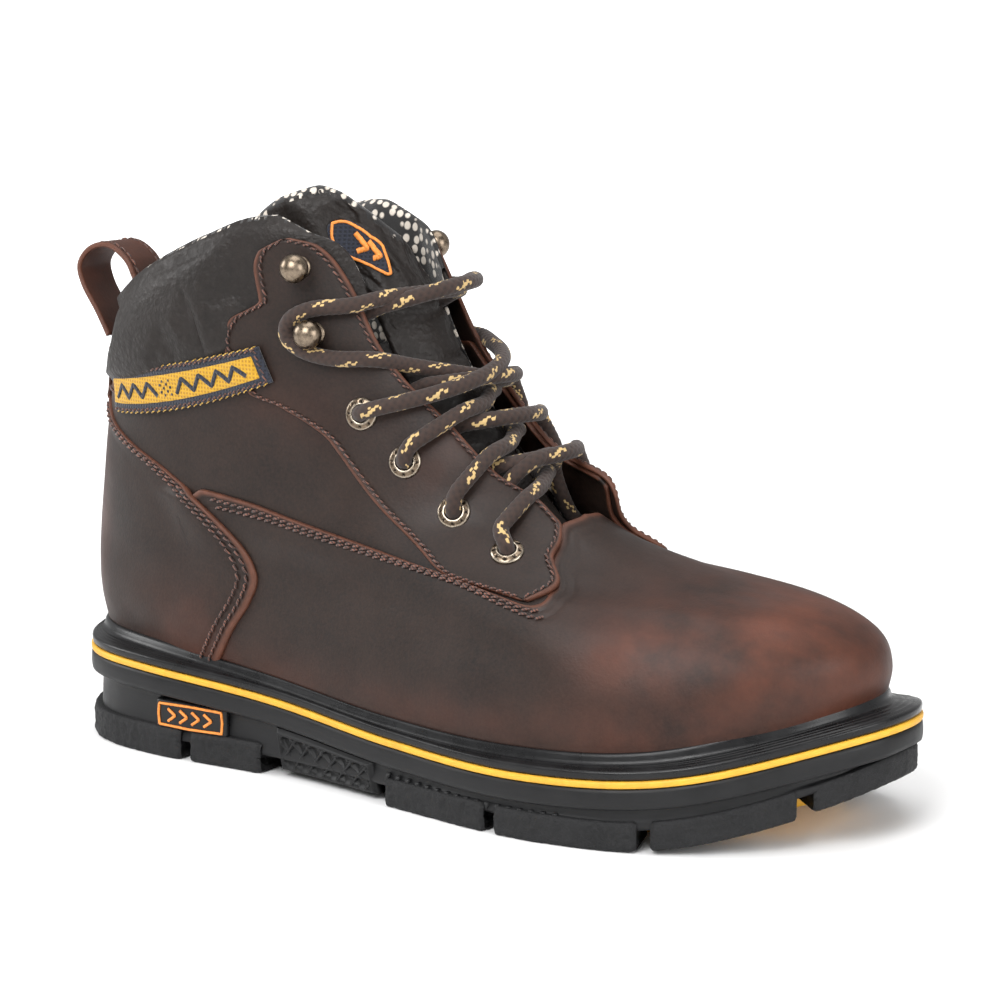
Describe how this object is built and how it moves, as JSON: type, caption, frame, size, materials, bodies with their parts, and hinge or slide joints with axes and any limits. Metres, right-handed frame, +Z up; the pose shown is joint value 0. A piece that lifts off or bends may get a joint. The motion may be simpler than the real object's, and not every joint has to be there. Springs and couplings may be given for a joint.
{
  "type": "safety toe work boot",
  "caption": "Lace-up ankle-high work boot for the right foot: brown leather upper with padded collar and steel toe, lugged rubber sole with a coloured line.",
  "frame": {"origin": "on the ground, under the centre of the heel seat", "axes": "+X towards the toe, +Y towards the inner side of the foot, +Z up"},
  "size_m": [0.3141, 0.1169, 0.198],
  "materials": {
    "brown_leather": "oiled pull-up leather, satin, lighter red-brown where it is stretched and at cut edges",
    "grain_leather": "soft pebble-grain leather, satin",
    "mesh_lining": "black knitted mesh with small off-white oval cells",
    "heel_suede": "napped suede lining",
    "pad_foam": "open-cell foam",
    "black_rubber": "moulded rubber, matt, pebbled on the lugs",
    "black_welt": "smooth satin rubber",
    "yellow_rubber": "soft moulded rubber, matt",
    "orange_plaque": "raised frame, satin",
    "cork_filler": "cork and latex filler",
    "spring_steel": "spring steel strip",
    "cap_steel": "pressed steel, lacquered",
    "cap_trim": "soft foam rubber edge trim",
    "fibre_board": "cellulose fibre board",
    "footbed_foam": "fabric-topped moulded foam",
    "stiffener_sheet": "thermoplastic sheet",
    "woven_label": "woven yellow ribbon with black edges",
    "tongue_badge": "woven dark badge with orange border",
    "aged_brass": "antique dark brass, polished on the ball tops",
    "braided_lace": "round braid, dark brown with yellow flecks",
    "lace_tip_plastic": "clear-coated film tip"
  },
  "bodies": {
    "boot": {"outsole": "black_rubber", "heel_lift": "black_rubber", "tread_core": "yellow_rubber", "midsole": "black_rubber", "yellow_layer": "yellow_rubber", "welt": "black_welt", "heel_plaque": "orange_plaque", "bottom_filler": "cork_filler", "steel_shank": "spring_steel", "insole_board": "fibre_board", "steel_toe_cap": "cap_steel", "toe_cap_edge_trim": "cap_trim", "heel_stiffener": "stiffener_sheet", "vamp": "brown_leather", "quarter_lateral": "brown_leather", "quarter_medial": "brown_leather", "heel_counter": "brown_leather", "eyestay_lateral": "brown_leather", "eyestay_medial": "brown_leather", "collar_cover": "grain_leather", "collar_foam": "pad_foam", "collar_lining": "mesh_lining", "vamp_lining": "mesh_lining", "heel_lining": "heel_suede", "quarter_lining": "mesh_lining", "back_strip": "brown_leather", "side_label": "woven_label", "tongue_base": "grain_leather", "tongue_gussets": "grain_leather", "eyelets": "aged_brass", "eyelet_washers": "aged_brass", "lace_hooks": "aged_brass", "hook_rivets": "aged_brass", "lace": "braided_lace", "lace_tips": "lace_tip_plastic"},
    "tongue_top": {"tongue_flap": "grain_leather", "tongue_patch": "tongue_badge"},
    "loop": {"pull_loop": "brown_leather"},
    "insole": {"footbed": "footbed_foam"}
  },
  "joints": [
    {"name": "tongue_tilt", "type": "hinge", "parent": "boot", "child": "tongue_top", "pos_m": [0.0825, 0, 0.1625], "axis": [0, 1, 0], "range_deg": [0, 40]},
    {"name": "pull_loop_swing", "type": "hinge", "parent": "boot", "child": "loop", "pos_m": [-0.0402, 0, 0.1346], "axis": [0, 1, 0], "range_deg": [-20, 8]},
    {"name": "footbed_lift", "type": "hinge", "parent": "boot", "child": "insole", "pos_m": [0.24, 0, 0.04], "axis": [0, 1, 0], "range_deg": [0, 6]}
  ]
}
